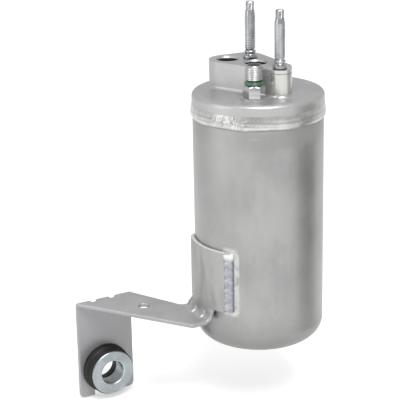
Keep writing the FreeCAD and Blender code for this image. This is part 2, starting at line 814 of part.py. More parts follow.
# Fillet welds along the saddle's two upright edges.
weld_in = S.can_radius + S.weld_gap
weld_start = S.saddle_half_angle + S.weld_gap / S.can_radius * 57.3
weld_end = S.saddle_half_angle + S.weld_spread
weld_out = saddle_in + S.weld_rise
for node, way in (("saddle_weld_front", -1), ("saddle_weld_rear", 1)):
    weld = new_body(node)
    section = new_sketch(weld, "section_" + node, "XY_Plane", S.saddle_bottom + S.weld_inset)
    outline(section, [
        (-weld_in * cosine(weld_start), weld_in * sine(weld_start) * way),
        (-weld_out * cosine(weld_start), weld_out * sine(weld_start) * way, S.weld_bulge, -way),
        (-weld_in * cosine(weld_end), weld_in * sine(weld_end) * way, weld_in, way),
    ])
    pad(weld, section, "bead_" + node, S.saddle_height - S.weld_inset * 2)


def across(node, points):
    """A body turned about an axis along Y at the isolator: (radius, y) points."""
    body = turned(node, points)
    body.Placement = FreeCAD.Placement(FreeCAD.Vector(0, 0, 0),
                                       FreeCAD.Rotation(FreeCAD.Vector(1, 0, 0), -90))
    place(body, S.isolator_x, ZERO, S.isolator_z)
    return body


# Isolator: rubber grommet round the flange's keyhole, with a flanged steel bush in it.
bush_under = S.isolator_front_y + S.bush_flange
bush_end = S.isolator_front_y + S.bush_length
sleeve_radius = S.bush_bore_radius + S.bush_wall
rubber_in = sleeve_radius + S.rubber_gap
rubber_front = bush_under + S.rubber_gap
plate_front = S.flange_front_y - S.rubber_plate_gap
plate_back = S.flange_front_y + S.sheet + S.rubber_plate_gap
rubber_end = plate_back + S.rubber_lip
neck_radius = S.keyhole_radius - S.rubber_plate_gap
seat_front = plate_front - S.rubber_seat_height
waist = (seat_front - rubber_front - S.rubber_rim_height) / 4
rim_back = rubber_front + S.rubber_rim_height
across("isolator_bush", [
    (S.bush_bore_radius, S.isolator_front_y + S.bush_edge, S.bush_edge, 1),
    (S.bush_bore_radius + S.bush_edge, S.isolator_front_y),
    (S.bush_flange_radius - 0.4, S.isolator_front_y),
    (S.bush_flange_radius, S.isolator_front_y + 0.4),
    (S.bush_flange_radius, bush_under),
    (sleeve_radius, bush_under),
    (sleeve_radius, bush_end),
    (S.bush_bore_radius, bush_end),
])
across("isolator_grommet", [
    (rubber_in, rubber_front),
    (S.rubber_rim_radius - 0.3, rubber_front),
    (S.rubber_rim_radius, rubber_front + 0.3),
    (S.rubber_rim_radius, rim_back),
    (S.rubber_rib_radius - 0.8, rim_back + waist),
    (S.rubber_rib_radius, rim_back + waist * 2),
    (S.rubber_rib_radius - 0.4, rim_back + waist * 3),
    (S.rubber_seat_radius - 0.4, seat_front),
    (S.rubber_seat_radius, seat_front + 0.8),
    (S.rubber_seat_radius, plate_front),
    (neck_radius, plate_front),
    (neck_radius, plate_back),
    (S.rubber_lip_radius, plate_back),
    (S.rubber_lip_radius, rubber_end - 1.2),
    (S.rubber_lip_radius - 1.6, rubber_end),
    (S.bush_bore_radius + S.rubber_bore_gap, rubber_end),
    (S.bush_bore_radius + S.rubber_bore_gap, bush_end + S.rubber_gap),
    (rubber_in, bush_end + S.rubber_gap),
])

# Pick-up tube from the outlet port to the bottom, with a rolled bead that carries the cartridge.
plate_under = S.cartridge_bottom
bead_top = plate_under - S.seat_gap
tube_inside = S.tube_radius - S.tube_wall
tube = turned("pickup_tube", [
    (tube_inside, S.tube_foot),
    (S.tube_radius, S.tube_foot),
    (S.tube_radius, bead_top - S.tube_bead_height),
    (S.tube_bead_radius - 0.4, bead_top - S.tube_bead_height),
    (S.tube_bead_radius, bead_top - S.tube_bead_height / 2),
    (S.tube_bead_radius - 0.4, bead_top),
    (S.tube_radius, bead_top),
    (S.tube_radius, tube_top - S.seat_gap),
    (tube_inside, tube_top - S.seat_gap),
])
place(tube, S.outlet_x, S.outlet_y, ZERO)
strainer_top = S.strainer_bottom + S.strainer_height
collar_in = S.tube_radius + S.tube_gap
strainer = turned("pickup_strainer", [
    (ZERO, S.strainer_bottom),
    (S.strainer_radius - 1.0, S.strainer_bottom),
    (S.strainer_radius, S.strainer_bottom + 1.0),
    (S.strainer_radius, strainer_top),
    (collar_in + 1.0, strainer_top),
    (collar_in + 1.0, strainer_top + S.strainer_collar),
    (collar_in, strainer_top + S.strainer_collar),
    (collar_in, strainer_top - S.strainer_wall),
    (S.strainer_radius - S.strainer_wall, strainer_top - S.strainer_wall),
    (S.strainer_radius - S.strainer_wall, S.strainer_bottom + 1.0 + S.strainer_wall),
    (S.strainer_radius - 1.0 - S.strainer_wall, S.strainer_bottom + S.strainer_wall),
    (ZERO, S.strainer_bottom + S.strainer_wall),
])
place(strainer, S.outlet_x, S.outlet_y, ZERO)

# Cartridge: felt and perforated plates round a bed of desiccant, held down by a coil spring.
layer_radius = can_inside - S.cartridge_gap
tube_hole = S.tube_radius + S.tube_gap


def layer(node, bottom, thickness):
    body = new_body(node)
    disc = new_sketch(body, "disc_" + node, "XY_Plane", bottom)
    ring(disc, ZERO, ZERO, layer_radius)
    ring(disc, S.outlet_x, S.outlet_y, tube_hole)
    pad(body, disc, "layer_" + node, thickness)
    return body


def perforate(body, name, ring_radius, count, bottom):
    """A ring of round holes, patterned about the can's axis."""
    doc.recompute()
    before = body.Shape.Volume
    hole = new_sketch(body, name + "_hole", "XY_Plane", bottom + S.plate_thickness + 0.5)
    ring(hole, ring_radius, ZERO, S.plate_hole_radius)
    first = pocket(body, hole, name + "_cut", S.plate_thickness + 1.0)
    pattern = body.newObject("PartDesign::PolarPattern", name + "_ring")
    pattern.Originals = [first]
    pattern.Axis = ([item for item in body.Origin.OriginFeatures if item.Role == "Z_Axis"][0], [""])
    pattern.Angle = 360.0
    pattern.Occurrences = int(round(count.value))
    bind(pattern, "Occurrences", count)
    body.Tip = pattern
    doc.recompute()
    one_hole = math.pi * S.plate_hole_radius.value ** 2 * S.plate_thickness.value
    if before - body.Shape.Volume < one_hole * (count.value - 0.5):
        raise RuntimeError(name + " lacks holes")


felt_low = plate_under + S.plate_thickness + S.seat_gap
bed_low = felt_low + S.felt_thickness + S.seat_gap
felt_high = bed_low + S.bed_height + S.seat_gap
plate_high = felt_high + S.felt_thickness + S.seat_gap
spring_low = plate_high + S.plate_thickness + S.seat_gap + S.spring_wire
spring_high = lid_under - S.seat_gap - S.spring_wire
for node, bottom in (("lower_retainer_plate", plate_under), ("upper_retainer_plate", plate_high)):
    plate = layer(node, bottom, S.plate_thickness)
    perforate(plate, node + "_inner", S.plate_ring_inner, S.plate_count_inner, bottom)
    perforate(plate, node + "_outer", S.plate_ring_outer, S.plate_count_outer, bottom)
layer("lower_felt_pad", felt_low, S.felt_thickness)
layer("desiccant_bed", bed_low, S.bed_height)
layer("upper_felt_pad", felt_high, S.felt_thickness)
coil("cartridge_spring", S.spring_radius, S.spring_wire, spring_low, spring_high - spring_low,
     S.spring_turns, 18)

NODES = [
    "canister", "head", "girth_weld", "inlet_stud", "outlet_stud", "charge_fitting",
    "charge_fitting_o_ring", "valve_core_body", "valve_core_pin", "valve_core_spring",
    "mounting_bracket", "saddle_weld_front", "saddle_weld_rear", "isolator_grommet",
    "isolator_bush", "pickup_tube", "pickup_strainer", "lower_retainer_plate", "lower_felt_pad",
    "desiccant_bed", "upper_felt_pad", "upper_retainer_plate", "cartridge_spring",
]

doc.recompute()
for item in doc.Objects:
    if "Invalid" in item.State or "Error" in item.State:
        raise RuntimeError("failed: %s %s" % (item.Name, item.State))
pieces = {item.Label: item for item in doc.Objects if item.Label in NODES}
for node in NODES:
    shape = pieces[node].Shape
    if shape.isNull() or not shape.isValid() or len(shape.Solids) != 1:
        raise RuntimeError("bad shape: %s" % node)

os.makedirs("parts", exist_ok=True)
for node in NODES:
    shape = pieces[node].Shape
    shape.exportStep("parts/%s.step" % node)
    box = shape.BoundBox
    print("%-24s %10.1f mm3  x %7.2f %7.2f  y %7.2f %7.2f  z %7.2f %7.2f" % (
        node, shape.Volume, box.XMin, box.XMax, box.YMin, box.YMax, box.ZMin, box.ZMax))
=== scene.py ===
import math
import bpy
from mathutils import Matrix, Vector


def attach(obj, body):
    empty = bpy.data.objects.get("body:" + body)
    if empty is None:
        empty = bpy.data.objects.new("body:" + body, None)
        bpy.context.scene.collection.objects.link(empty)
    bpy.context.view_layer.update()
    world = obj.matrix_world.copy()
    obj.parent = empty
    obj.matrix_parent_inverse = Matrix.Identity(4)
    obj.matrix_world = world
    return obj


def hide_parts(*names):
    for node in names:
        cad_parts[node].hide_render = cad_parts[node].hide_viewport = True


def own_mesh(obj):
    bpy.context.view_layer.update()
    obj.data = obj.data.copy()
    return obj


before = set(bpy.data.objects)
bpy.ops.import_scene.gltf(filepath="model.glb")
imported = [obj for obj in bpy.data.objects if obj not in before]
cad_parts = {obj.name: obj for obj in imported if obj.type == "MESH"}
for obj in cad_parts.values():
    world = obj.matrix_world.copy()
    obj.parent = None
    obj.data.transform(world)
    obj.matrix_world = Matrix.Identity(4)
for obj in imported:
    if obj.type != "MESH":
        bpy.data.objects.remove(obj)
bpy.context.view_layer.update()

# View: a long lens held a little above the ports and to the left of the bracket's fold,
# as in a shop's cut-out picture. Lengths in metres.
camera_data = bpy.data.cameras.new("view")
camera_data.sensor_fit = "HORIZONTAL"
camera_data.sensor_width = 36.0
camera_data.lens = 128.73
camera_data.clip_end = 20.0
camera = bpy.data.objects.new("view", camera_data)
bpy.context.scene.collection.objects.link(camera)
tilt = math.radians(18.2968)
roll = math.radians(-1.12078)
up_of_level = Vector((0, math.sin(tilt), math.cos(tilt)))
side_of_level = Vector((1, 0, 0))
across_view = side_of_level * math.cos(roll) + up_of_level * math.sin(roll)
up_view = up_of_level * math.cos(roll) - side_of_level * math.sin(roll)
into_view = Vector((0, math.cos(tilt), -math.sin(tilt)))
turn = Matrix.Rotation(math.radians(-30), 3, "Z")
camera.matrix_world = Matrix.LocRotScale(
    Vector((-0.42978, -0.67537, 0.34855)),
    Matrix((turn @ across_view, turn @ up_view, -(turn @ into_view))).transposed(), None)
bpy.context.scene.camera = camera
bpy.context.scene.view_settings.view_transform = "Standard"


# Can: one drawn aluminium shell, a soft satin grey with faint upright draw lines, clouded handling
# marks, fine turned lines under the seam, painted shade darkening the foot, and pale smut beside the
# bracket's welds.
# All base colours are linear.
class Tone:
    """A value that varies over a surface, with plain arithmetic."""

    def __init__(self, workings, socket):
        self.workings = workings
        self.socket = socket

    def __add__(self, other):
        return self.workings.maths("ADD", self, other)

    def __radd__(self, other):
        return self.workings.maths("ADD", other, self)

    def __sub__(self, other):
        return self.workings.maths("SUBTRACT", self, other)

    def __rsub__(self, other):
        return self.workings.maths("SUBTRACT", other, self)

    def __mul__(self, other):
        return self.workings.maths("MULTIPLY", self, other)

    def __rmul__(self, other):
        return self.workings.maths("MULTIPLY", other, self)

    def __truediv__(self, other):
        return self.workings.maths("DIVIDE", self, other)

    def __rtruediv__(self, other):
        return self.workings.maths("DIVIDE", other, self)


class Workings:
    """A node tree and the one method that makes any node in it."""

    def __init__(self, tree):
        self.nodes = tree.nodes
        self.links = tree.links

    def make(self, kind, settings, inputs, output=0):
        node = self.nodes.new(kind)
        for key, value in settings.items():
            setattr(node, key, value)
        for key, value in inputs.items():
            if isinstance(value, Tone):
                self.links.new(value.socket, node.inputs[key])
            else:
                node.inputs[key].default_value = value
        return Tone(self, node.outputs[output])

    def maths(self, operation, *values):
        return self.make("ShaderNodeMath", {"operation": operation}, dict(enumerate(values)))


class Finish(Workings):
    """One procedural material on Object coordinates, in metres."""

    def __init__(self, name, **sockets):
        self.material = bpy.data.materials.new(name)
        self.material.use_nodes = True
        super().__init__(self.material.node_tree)
        self.shader = [node for node in self.nodes if node.type == "BSDF_PRINCIPLED"][0]
        for socket, value in sockets.items():
            self.shader.inputs[socket.replace("_", " ").title()].default_value = value
        self.place = self.make("ShaderNodeTexCoord", {}, {}, "Object")

    def cloud(self, scale, detail=2.0, stretch=(1, 1, 1), rough=0.5):
        spot = self.make("ShaderNodeMapping", {}, {"Vector": self.place, "Scale": stretch})
        return self.make("ShaderNodeTexNoise", {}, {
            "Vector": spot, "Scale": scale, "Detail": detail, "Roughness": rough})

    def axes(self):
        split = self.make("ShaderNodeSeparateXYZ", {}, {"Vector": self.place})
        node = split.socket.node
        return [Tone(self, node.outputs[index]) for index in range(3)]

    def ease(self, tone, low, high):
        return self.make("ShaderNodeMapRange", {"interpolation_type": "SMOOTHSTEP"}, {
            "Value": tone, "From Min": low, "From Max": high, "To Min": 0.0, "To Max": 1.0})

    def blend(self, factor, first, second):
        first, second = [end if isinstance(end, Tone) else (*end, 1.0) for end in (first, second)]
        return self.make("ShaderNodeMix", {"data_type": "RGBA"}, {0: factor, 6: first, 7: second}, 2)

    def feed(self, socket, tone):
        self.links.new(tone.socket, self.shader.inputs[socket])

    def relief(self, height, distance, strength=1.0):
        bump = self.make("ShaderNodeBump", {}, {
            "Height": height, "Distance": distance, "Strength": strength})
        self.links.new(bump.socket, self.shader.inputs["Normal"])


def dress(node, finish):
    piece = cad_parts[node]
    piece.data.materials.clear()
    piece.data.materials.append(finish.material)


def weld_halo(finish, inner, outer):
    """1 on the can beside its two upright welds, fading out between two distances from them."""
    can_radius, weld_turn, weld_height = 0.038, 0.551, 0.0447
    half_width, half_height = 0.0020, 0.0172
    x, y, z = finish.axes()
    turned = finish.maths("ABSOLUTE", finish.maths("ARCTAN2", y, -1.0 * x))
    along = finish.maths("ABSOLUTE", turned - weld_turn) * can_radius
    along = finish.maths("MAXIMUM", along - half_width, 0.0)
    upright = finish.maths("MAXIMUM", finish.maths("ABSOLUTE", z - weld_height) - half_height, 0.0)
    return 1.0 - finish.ease(finish.maths("SQRT", along * along + upright * upright), inner, outer)


def aluminium(name, light, dark, rough, lines, spread=1.0, metal=1.0):
    """Satin aluminium in two tones, with clouds, upright draw lines and fine specks."""
    finish = Finish(name, metallic=metal)
    clouds = finish.cloud(34 / spread, 5.0, (1, 1, 0.7), 0.62)
    streaks = finish.cloud(300 / spread, 3.0, (1, 1, 0.05), 0.6)
    specks = finish.cloud(1500, 2.0)
    mix = finish.ease(clouds + (streaks - 0.5) * lines, 0.33, 0.67)
    finish.colour = finish.blend(mix, dark, light)
    finish.feed("Base Color", finish.colour)
    finish.roughness = rough - 0.05 + clouds * 0.12 + (streaks - 0.5) * 0.06
    finish.feed("Roughness", finish.roughness)
    finish.height = streaks * lines + specks * 0.35 + clouds
    finish.relief(finish.height, 0.00004, 0.5)
    return finish


foot_shade_start, foot_shade_end = -0.004, 0.026
lines_start, lines_full = 0.119, 0.131
lines_per_metre = 2600.0
can_skin = aluminium("can_satin_aluminium", (0.355, 0.355, 0.350), (0.285, 0.285, 0.284), 0.36, 0.16,
                     metal=0.85)
can_z = can_skin.axes()[2]
stain = can_skin.ease(can_skin.cloud(14, 2.0), 0.40, 0.62)
can_tone = can_skin.blend(stain * 0.45, can_skin.colour, (0.33, 0.328, 0.312))
# Painted shade: the can's colour darkens towards its foot.
shaded_foot = 1.0 - can_skin.ease(can_z, foot_shade_start, foot_shade_end)
can_tone = can_skin.blend(shaded_foot * 0.80, can_tone, (0.185, 0.185, 0.18))
smut = can_skin.ease(can_skin.cloud(220, 3.0), 0.25, 0.62)
smut = weld_halo(can_skin, 0.0026, 0.0046) * smut * 0.85
can_skin.feed("Base Color", can_skin.blend(smut, can_tone, (0.58, 0.59, 0.57)))
can_skin.feed("Roughness", can_skin.roughness + smut * 0.22)
turning = can_skin.make("ShaderNodeTexNoise", {"noise_dimensions": "1D"}, {
    "W": can_z * lines_per_metre, "Detail": 1.0})
turned_band = can_skin.ease(can_z, lines_start, lines_full) + shaded_foot * 0.2
can_skin.relief(can_skin.height + turning * turned_band * 3.0, 0.00005, 0.55)
dress("canister", can_skin)


# Head: forged and machined aluminium lid with its port block, a pale satin with a darker wall. The
# boss under the outlet stud is cut bright, with a painted line of shade below its top; the ports are
# painted black with shade just under their rims.
block_top = 0.1663
inlet_port, outlet_port, boss_centre = (-0.0093, 0.0179), (-0.0012, 0.00045), (0.0023, -0.0204)
boss_foot, boss_cut = 0.1500, 0.1512
rim_drop, port_drop = 0.0021, 0.0005
wall_low, wall_high = 0.1462, 0.1488
head_skin = aluminium("head_machined_aluminium", (0.47, 0.47, 0.47), (0.40, 0.40, 0.405), 0.42, 0.05,
                      metal=0.70)
head_x, head_y, head_z = head_skin.axes()


def within(finish, x, y, centre, inner, outer):
    """1 inside a circle on two axes, fading out between two radii."""
    dx = x - centre[0]
    dy = y - centre[1]
    return 1.0 - finish.ease(finish.maths("SQRT", dx * dx + dy * dy), inner, outer)


# Painted shade: below each port's rim the bore is painted black.
deep = 1.0 - head_skin.ease(head_z, block_top - port_drop - 0.0003, block_top - port_drop)
ports = (within(head_skin, head_x, head_y, inlet_port, 0.0063, 0.0065)
         + within(head_skin, head_x, head_y, outlet_port, 0.0063, 0.0065))
painted_port_shade = deep * ports
boss = within(head_skin, head_x, head_y, boss_centre, 0.0066, 0.0074)
boss = boss * head_skin.ease(head_z, boss_foot, boss_cut)
head_tone = head_skin.blend(boss, head_skin.colour, (0.55, 0.55, 0.53))
# Painted shade: a dark line round the boss just below its top, where shade falls under its top edge.
boss_line_shade = head_skin.maths("ABSOLUTE", head_z - (block_top - rim_drop))
boss_line_shade = (1.0 - head_skin.ease(boss_line_shade, 0.00010, 0.00040)) * boss * 0.7
head_tone = head_skin.blend(boss_line_shade, head_tone, (0.10, 0.10, 0.095))
wall = 1.0 - head_skin.ease(head_z, wall_low, wall_high)
head_tone = head_skin.blend(wall * 0.4, head_tone, (0.36, 0.36, 0.355))
head_skin.feed("Base Color", head_skin.blend(painted_port_shade, head_tone, (0.004, 0.004, 0.004)))
head_skin.feed("Roughness", head_skin.roughness - boss * 0.14 - wall * 0.06 + painted_port_shade * 0.4)
head_skin.feed("Metallic", 0.70 + (boss + wall) * 0.22 - painted_port_shade * 0.7)
dress("head", head_skin)


# Girth weld: a bead run once round the lid's seam, lumpy, with its layers drawn out along the seam
# and slanting ripples where the run starts and ends, with painted shade in its valleys and along its
# lower edge. It takes the place of the plain bead.
bead_turns, bead_rows = 720, 20
bead_low, bead_high, bead_seam = 0.1356, 0.1439, 0.1395
bead_can, bead_bulge, bead_spread = 0.03806, 0.00122, 0.0003
bead_start = math.radians(217)
crest, foot_line = 0.26, 0.15
bead_points = []
bead_shade = []
bead_faces = []
for step in range(bead_turns):
    angle = 2 * math.pi * step / bead_turns
    lump = (math.sin(angle * 5 + 1.3) + math.sin(angle * 13 + 0.4) + math.sin(angle * 29)) / 3
    from_start = math.atan2(math.sin(angle - bead_start), math.cos(angle - bead_start))
    rippled = 0.10 + 0.90 * math.exp(-(from_start / 0.32) ** 4) * (0.65 + 0.35 * math.sin(angle * 37))
    for row in range(bead_rows + 1):
        share = row / bead_rows
        edge = 0.00022 * math.sin(angle * 9 + 0.8) * (1 - share) ** 3
        height = bead_low + (bead_high - bead_low) * share + edge
        if share < crest:
            crown = (share / crest) ** 0.5
        else:
            crown = 1.0 - ((share - crest) / (1.0 - crest)) ** 1.35
        slant = -8.0 + 3.0 * math.sin(angle * 11)
        sweep = angle * 84 + slant * share + 2.6 * math.sin(angle * 23)
        ripple = 0.5 + 0.5 * math.sin(sweep + 1.1 * math.sin(share * 17 + angle * 31))
        layer = 0.5 + 0.5 * math.sin(share * 21 + 1.6 * math.sin(angle * 3) + 0.6)
        dip = (0.34 * ripple * rippled + 0.08 * (1 - lump) + 0.10 * layer * (1 - rippled)) * crown
        radius = bead_can + bead_bulge * (crown - dip) + bead_spread * share
        bead_points.append((radius * math.cos(angle), radius * math.sin(angle), height))
        # Painted shade: the lower edge, where the bead rolls under, and the ripple valleys are painted
        # darker.
        lip_shade = max(1.0 - share / foot_line, 0.0)
        bead_shade.append(min(0.70 * ripple * rippled * math.sin(math.pi * share) ** 0.5
                             + 0.30 * layer * (1 - rippled) + lip_shade, 1.0))
inner_rows = [(bead_can, bead_low), (bead_can, bead_seam), (bead_can + bead_spread, bead_seam),
              (bead_can + bead_spread, bead_high)]
bead_width = bead_rows + 1
for step in range(bead_turns):
    after = (step + 1) % bead_turns
    for row in range(bead_rows):
        bead_faces.append((step * bead_width + row, after * bead_width + row,
                           after * bead_width + row + 1, step * bead_width + row + 1))
wall_start = len(bead_points)
for step in range(bead_turns):
    angle = 2 * math.pi * step / bead_turns
    for radius, height in inner_rows:
        bead_points.append((radius * math.cos(angle), radius * math.sin(angle), height))
for step in range(bead_turns):
    after = (step + 1) % bead_turns
    a, b = wall_start + step * 4, wall_start + after * 4
    for row in range(3):
        bead_faces.append((a + row, a + row + 1, b + row + 1, b + row))
    bead_faces.append((step * bead_width, a, b, after * bead_width))
    bead_faces.append((step * bead_width + bead_rows, after * bead_width + bead_rows, b + 3, a + 3))


def new_piece(name, points, faces, shade_dips=()):
    """A smooth mesh object at the origin; shade_dips give its first points painted shade, from 0 to 1."""
    mesh = bpy.data.meshes.new(name)
    mesh.from_pydata(points, [], faces)
    if shade_dips:
        values = list(shade_dips) + [0.0] * (len(points) - len(shade_dips))
        mesh.attributes.new("dip", "FLOAT", "POINT").data.foreach_set("value", values)
    mesh.validate()
    mesh.shade_smooth()
    mesh.set_sharp_from_angle(angle=math.radians(42))
    piece = bpy.data.objects.new(name, mesh)
    bpy.context.scene.collection.objects.link(piece)
    return piece


def add_weld(name, points, faces, finish, replaced, shade_dips):
    piece = new_piece(name, points, faces, shade_dips)
    piece.data.materials.append(finish.material)
    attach(piece, "drier")
    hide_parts(replaced)


weld_skin = Finish("weld_bead_aluminium", metallic=0.85)
weld_grain = weld_skin.cloud(900, 3.0)
weld_patch = weld_skin.cloud(90, 3.0, (1, 1, 1.6), 0.6)
weld_shade = weld_skin.make("ShaderNodeAttribute", {"attribute_name": "dip"}, {}, "Fac")
weld_tone = weld_skin.blend(weld_skin.ease(weld_patch, 0.35, 0.68), (0.46, 0.46, 0.455),
                            (0.64, 0.64, 0.62))
# Painted shade from the stored values darkens the valleys and the lower edge.
weld_skin.feed("Base Color", weld_skin.blend(weld_shade * 0.8, weld_tone, (0.22, 0.22, 0.21)))
weld_skin.feed("Roughness", 0.20 + weld_patch * 0.16 + weld_shade * 0.1)
weld_skin.relief(weld_grain * 0.6 + weld_patch * 2.0, 0.00010, 0.5)
add_weld("girth_weld_ripples", bead_points, bead_faces, weld_skin, "girth_weld", bead_shade)


# Studs: M6 steel, zinc plated, with a turned collar, a relief above it, a thread rolled by a
# Geometry Nodes tree and a hexagon drive tip. Each replaces its plain stud and keeps its height.
def turned_points(profile, centre, base, around):
    """Rings for a list of (height, radius) pairs, where a radius may depend on the angle."""
    points = []
    for height, radius in profile:
        for step in range(around):
            angle = 2 * math.pi * step / around
            reach = radius(angle) if callable(radius) else radius
            points.append((centre[0] + reach * math.cos(angle), centre[1] + reach * math.sin(angle),
                           base + height))
    return points


def ring_faces(rings, around, close=True):
    """Faces between neighbouring rings, with a flat cap at both ends if asked."""
    faces = []
    for ring in range(rings - 1):
        for step in range(around):
            after = (step + 1) % around
            a, b = ring * around, (ring + 1) * around
            faces.append((a + step, a + after, b + after, b + step))
    if close:
        faces.append(tuple(range(around - 1, -1, -1)))
        faces.append(tuple((rings - 1) * around + step for step in range(around)))
    return faces


# The tree sinks a helical groove into a turned shank and stores how deep each point lies.
thread_tree = bpy.data.node_groups.new("rolled_thread", "GeometryNodeTree")
thread_inputs = {}
for title, kind in (("Geometry", "Geometry"), ("Axis X", "Float"), ("Axis Y", "Float"),
                    ("Lowest", "Float"), ("Highest", "Float"), ("Crest", "Float"),
                    ("Pitch", "Float"), ("Depth", "Float"), ("Material", "Material")):
    entry = thread_tree.interface.new_socket(title, in_out="INPUT", socket_type="NodeSocket" + kind)
    thread_inputs[title] = entry.identifier
thread_tree.interface.new_socket("Geometry", in_out="OUTPUT", socket_type="NodeSocketGeometry")
rolling = Workings(thread_tree)
given = {entry.name: Tone(rolling, entry)
         for entry in thread_tree.nodes.new("NodeGroupInput").outputs if entry.name}
place = rolling.make("ShaderNodeSeparateXYZ", {}, {
    "Vector": rolling.make("GeometryNodeInputPosition", {}, {})}).socket.node.outputs
dx = Tone(rolling, place[0]) - given["Axis X"]
dy = Tone(rolling, place[1]) - given["Axis Y"]
height = Tone(rolling, place[2])
reach = rolling.maths("SQRT", dx * dx + dy * dy)
turn_angle = rolling.maths("ARCTAN2", dy, dx)
phase = rolling.maths("FRACT", (height - given["Lowest"]) / given["Pitch"] - turn_angle / (2 * math.pi))
slope = rolling.maths("ABSOLUTE", phase * 2.0 - 1.0)
groove = rolling.maths("MINIMUM", rolling.maths("MAXIMUM", slope * 1.35 - 0.2, 0.0), 1.0)
shank = (rolling.maths("GREATER_THAN", height, given["Lowest"])
         * rolling.maths("LESS_THAN", height, given["Highest"])
         * rolling.maths("GREATER_THAN", reach, given["Crest"] - 0.0001))
groove = groove * shank
grooved = rolling.make("GeometryNodeStoreNamedAttribute", {"data_type": "FLOAT", "domain": "POINT"}, {
    "Geometry": given["Geometry"], "Name": "dip", "Value": groove})
inward = rolling.make("ShaderNodeCombineXYZ", {}, {
    0: -1.0 * dx * groove * given["Depth"] / reach, 1: -1.0 * dy * groove * given["Depth"] / reach})
grooved = rolling.make("GeometryNodeSetPosition", {}, {"Geometry": grooved, "Offset": inward})
grooved = rolling.make("GeometryNodeRealizeInstances", {}, {"Geometry": grooved})
grooved = rolling.make("GeometryNodeSetMaterial", {}, {
    "Geometry": grooved, "Material": given["Material"]})
thread_tree.links.new(grooved.socket, thread_tree.nodes.new("NodeGroupOutput").inputs[0])


def settle(piece):
    """Gives the piece the mesh that its modifiers make, and takes them off."""
    bpy.context.view_layer.update()
    result = piece.evaluated_get(bpy.context.evaluated_depsgraph_get())
    fresh = bpy.data.meshes.new_from_object(result)
    piece.modifiers.clear()
    piece.data = fresh


def add_threaded(name, points, faces, finish, replaced, sizes):
    """A turned piece whose shank gets its rolled thread from the tree."""
    piece = new_piece(name, points, faces)
    thread = piece.modifiers.new("rolled_thread", "NODES")
    thread.node_group = thread_tree
    for title, value in sizes.items():
        thread[thread_inputs[title]] = value
    thread[thread_inputs["Material"]] = finish.material
    settle(piece)
    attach(piece, "drier")
    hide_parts(replaced)


def hex_radius(flat):
    """The radius of a hexagon at an angle, from half its width across flats."""
    def at(angle):
        share = (angle + math.pi / 6) % (math.pi / 3) - math.pi / 6
        return flat / math.cos(share)
    return at


zinc = Finish("zinc_plated_steel", metallic=1.0)
zinc_cloud = zinc.cloud(160, 3.0)
zinc_thread_shade = zinc.make("ShaderNodeAttribute", {"attribute_name": "dip"}, {}, "Fac")
zinc_tone = zinc.blend(zinc.ease(zinc_cloud, 0.35, 0.65), (0.37, 0.38, 0.395), (0.49, 0.50, 0.515))
# Painted shade: the thread's grooves are painted darker.
zinc.feed("Base Color", zinc.blend(zinc_thread_shade * 0.4, zinc_tone, (0.20, 0.205, 0.215)))
zinc.feed("Roughness", 0.24 + zinc_cloud * 0.12 + zinc_thread_shade * 0.15)
zinc.relief(zinc.cloud(1600, 2.0), 0.00002, 0.5)

stud_radius, stud_sides, stud_hold = 0.0030, 40, 0.0100
pitch, thread_depth = 0.0010, 0.00011
thread_low, thread_high = 0.0062, 0.0252
drive = hex_radius(0.0021)
for name, x, y in (("inlet_stud", 0.0020, 0.0112), ("outlet_stud", 0.0018, -0.0201)):
    profile = [(-stud_hold, stud_radius), (0.00005, stud_radius), (0.00005, 0.0036), (0.0004, 0.0041),
               (0.0014, 0.0042), (0.0021, 0.0040), (0.0024, 0.0034), (0.0027, 0.0030),
               (0.0030, 0.0029), (0.0033, 0.0031), (0.0042, 0.0033), (0.0048, 0.0031),
               (0.0051, 0.0026), (0.0056, 0.0026), (0.0060, 0.0029)]
    steps = int((thread_high - thread_low) / pitch * 10)
    for step in range(steps + 1):
        profile.append((thread_low + (thread_high - thread_low) * step / steps, stud_radius))
    profile += [(0.0256, 0.00292), (0.0262, 0.00288), (0.0288, 0.0024), (0.0289, drive),
                (0.0328, drive), (0.0332, hex_radius(0.0018))]
    add_threaded(name + "_threaded", turned_points(profile, (x, y), block_top, stud_sides),
                 ring_faces(len(profile), stud_sides), zinc, name,
                 {"Axis X": x, "Axis Y": y, "Lowest": block_top + thread_low,
                  "Highest": block_top + thread_high, "Crest": stud_radius, "Pitch": pitch,
                  "Depth": thread_depth})


# Charge fitting: bright machined aluminium with a hexagon, a short neck for the green seal ring
# and a fine thread; its bore holds the brass valve core.
bright = aluminium("fitting_machined_aluminium", (0.52, 0.52, 0.525), (0.41, 0.41, 0.42), 0.30, 0.05,
                   spread=0.4)
fitting_centre, fitting_base, fitting_sides = (-0.0135, -0.0173), 0.15135, 72
fitting_low, fitting_high, fitting_crest = 0.0104, 0.0176, 0.0050
bore, mouth_radius, shank_foot = 0.00235, 0.0036, -0.0068
hexagon, hexagon_edge = hex_radius(0.0055), hex_radius(0.0053)
profile = [(shank_foot, 0.0045), (0.0, 0.0045), (0.0, hexagon_edge), (0.0003, hexagon),
           (0.0061, hexagon), (0.0066, hexagon_edge), (0.0070, 0.0052),
           (0.0070, 0.0032), (0.0098, 0.0032), (0.0098, 0.0044), (0.0102, 0.0048)]
steps = 60
for step in range(steps + 1):
    profile.append((fitting_low + 0.0072 * step / steps, fitting_crest))
profile += [(0.0181, 0.0045), (0.0184, 0.0043), (0.0184, mouth_radius), (0.0162, mouth_radius),
            (0.0162, bore), (shank_foot, bore), (shank_foot, 0.0045)]
add_threaded("charge_fitting_threaded",
             turned_points(profile, fitting_centre, fitting_base, fitting_sides),
             ring_faces(len(profile), fitting_sides, False), bright, "charge_fitting",
             {"Axis X": fitting_centre[0], "Axis Y": fitting_centre[1],
              "Lowest": fitting_base + fitting_low, "Highest": fitting_base + fitting_high,
              "Crest": fitting_crest, "Pitch": 0.0010, "Depth": 0.00018})

